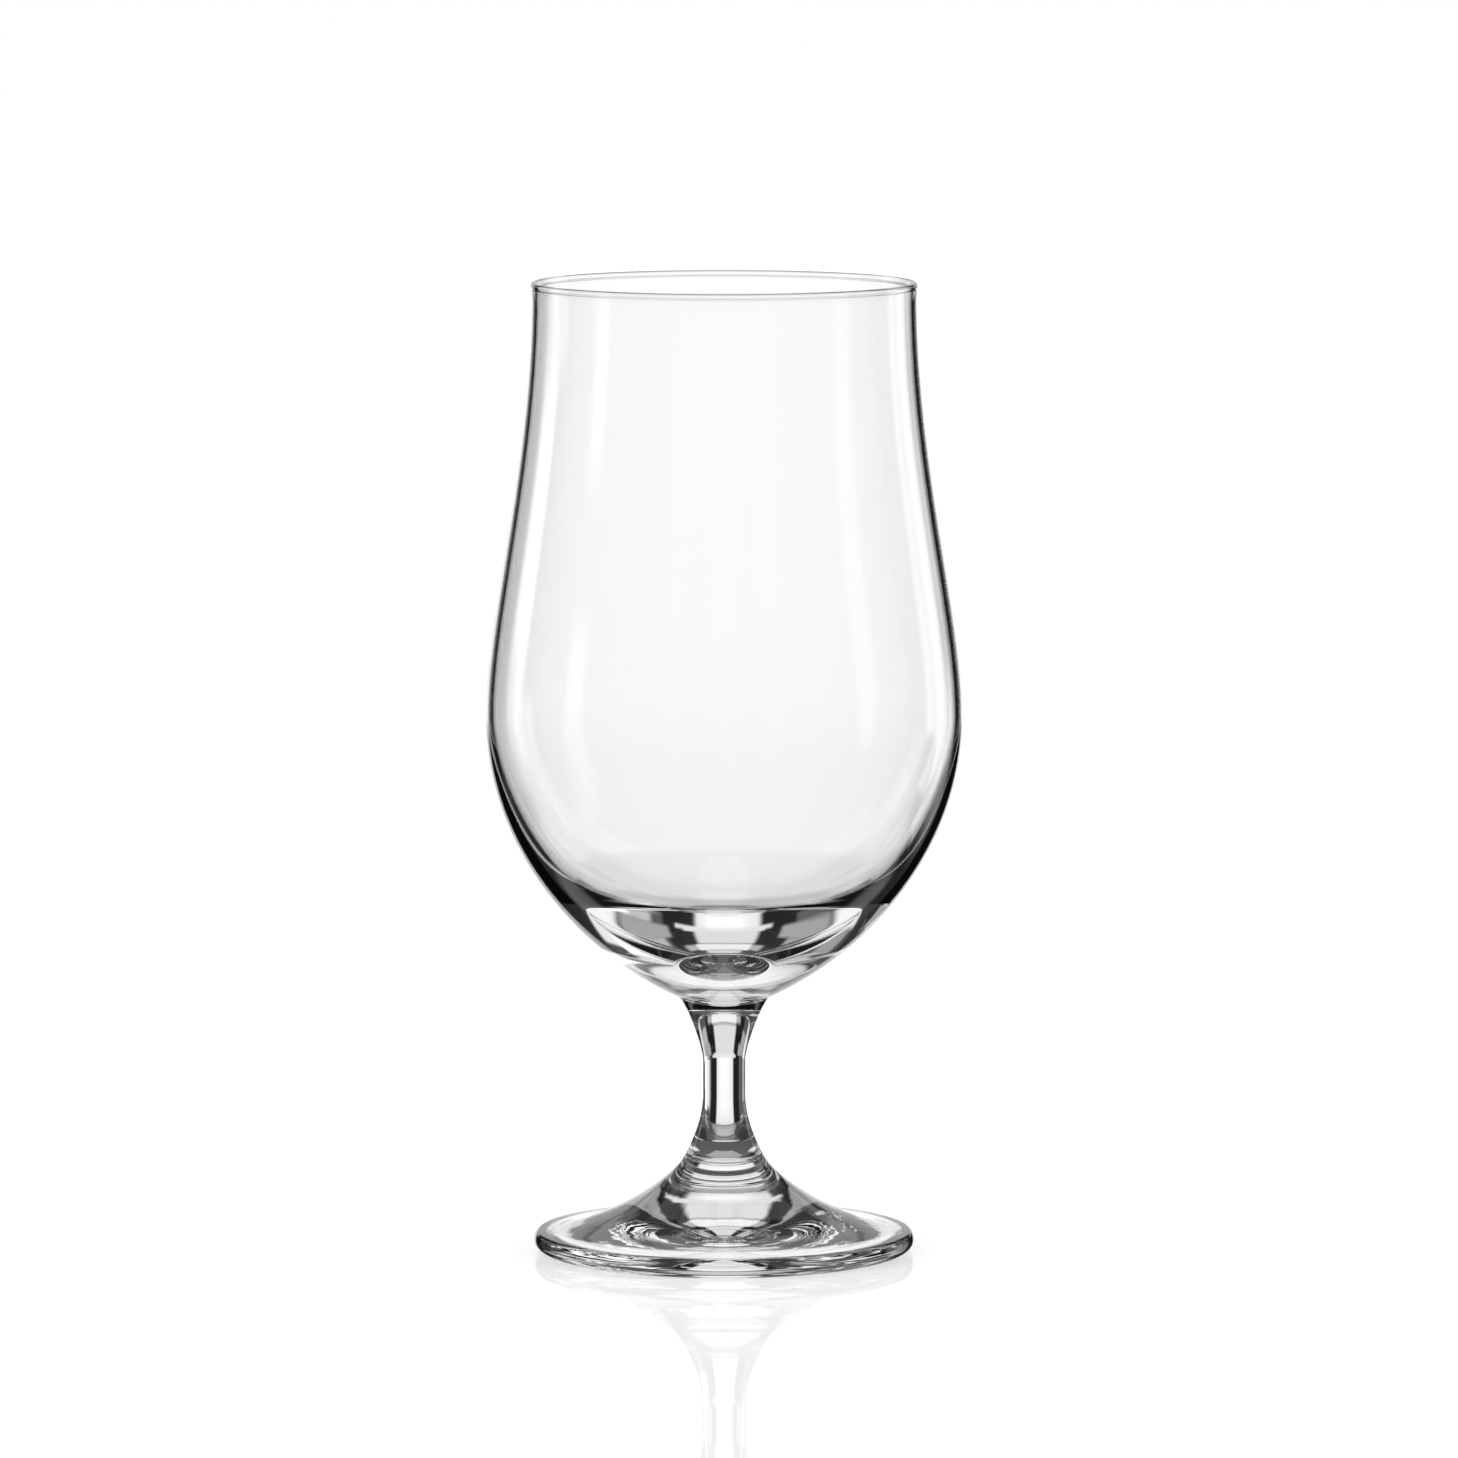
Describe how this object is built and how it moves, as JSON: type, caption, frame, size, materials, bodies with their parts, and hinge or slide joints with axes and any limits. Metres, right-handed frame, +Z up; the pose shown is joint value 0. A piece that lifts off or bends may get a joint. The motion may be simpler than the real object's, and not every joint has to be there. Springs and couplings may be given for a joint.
{
  "type": "tulip beer glass",
  "caption": "Clear tulip beer glass: a rounded bowl that draws in to an upright mouth, on a short waisted stem and a round foot.",
  "frame": {"origin": "centre of the ring that the foot stands on, on the table", "axes": "+Z up the glass's axis, from the foot to the mouth; the glass is round, so +X and +Y are any two level directions"},
  "size_m": [0.088, 0.088, 0.18],
  "materials": {
    "bowl_glass": "clear, fire polished",
    "stem_glass": "clear, fire polished",
    "foot_glass": "clear, fire polished, faint spinning ripples on top"
  },
  "bodies": {
    "root": {"bowl": "bowl_glass", "stem": "stem_glass", "foot": "foot_glass"}
  },
  "joints": []
}
